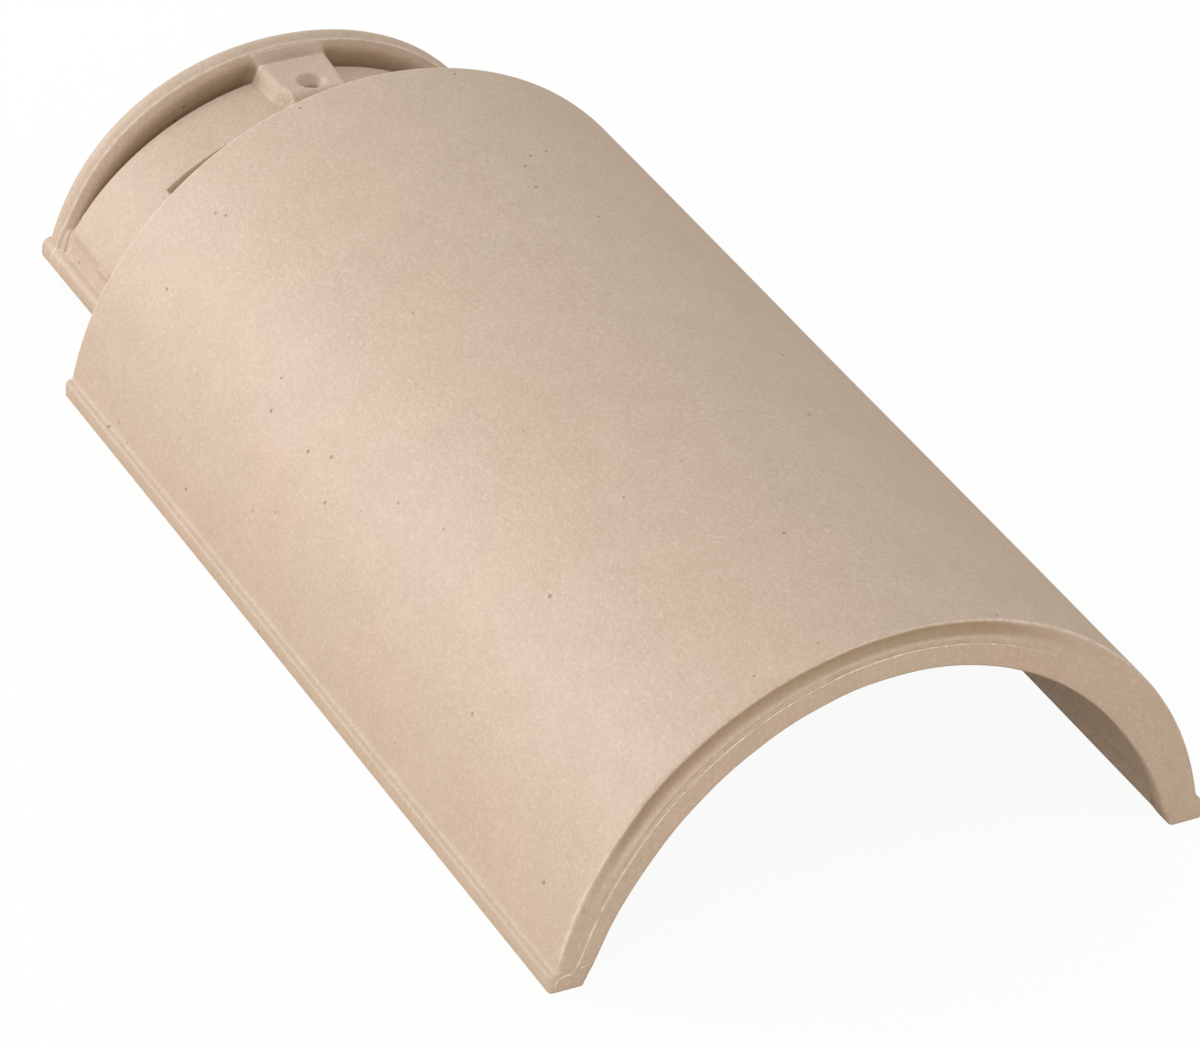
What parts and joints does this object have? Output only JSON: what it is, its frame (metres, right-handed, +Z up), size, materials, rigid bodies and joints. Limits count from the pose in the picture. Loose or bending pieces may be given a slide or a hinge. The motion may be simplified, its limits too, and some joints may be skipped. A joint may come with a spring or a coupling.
{
  "type": "ridge tile",
  "caption": "Half-round interlocking clay ridge tile with a lipped covering end and a low rimmed head holding a rain channel and a nail hole.",
  "frame": {"origin": "bottom centre of the bounding box, on the floor that the two long feet stand on", "axes": "+X along the ridge from the low head towards the covering front end, +Y across the ridge, +Z up"},
  "size_m": [0.4836, 0.25, 0.11],
  "materials": {
    "fired_clay": "matt sand-coloured fired clay"
  },
  "bodies": {
    "root": {"ridge_tile": "fired_clay"}
  },
  "joints": []
}
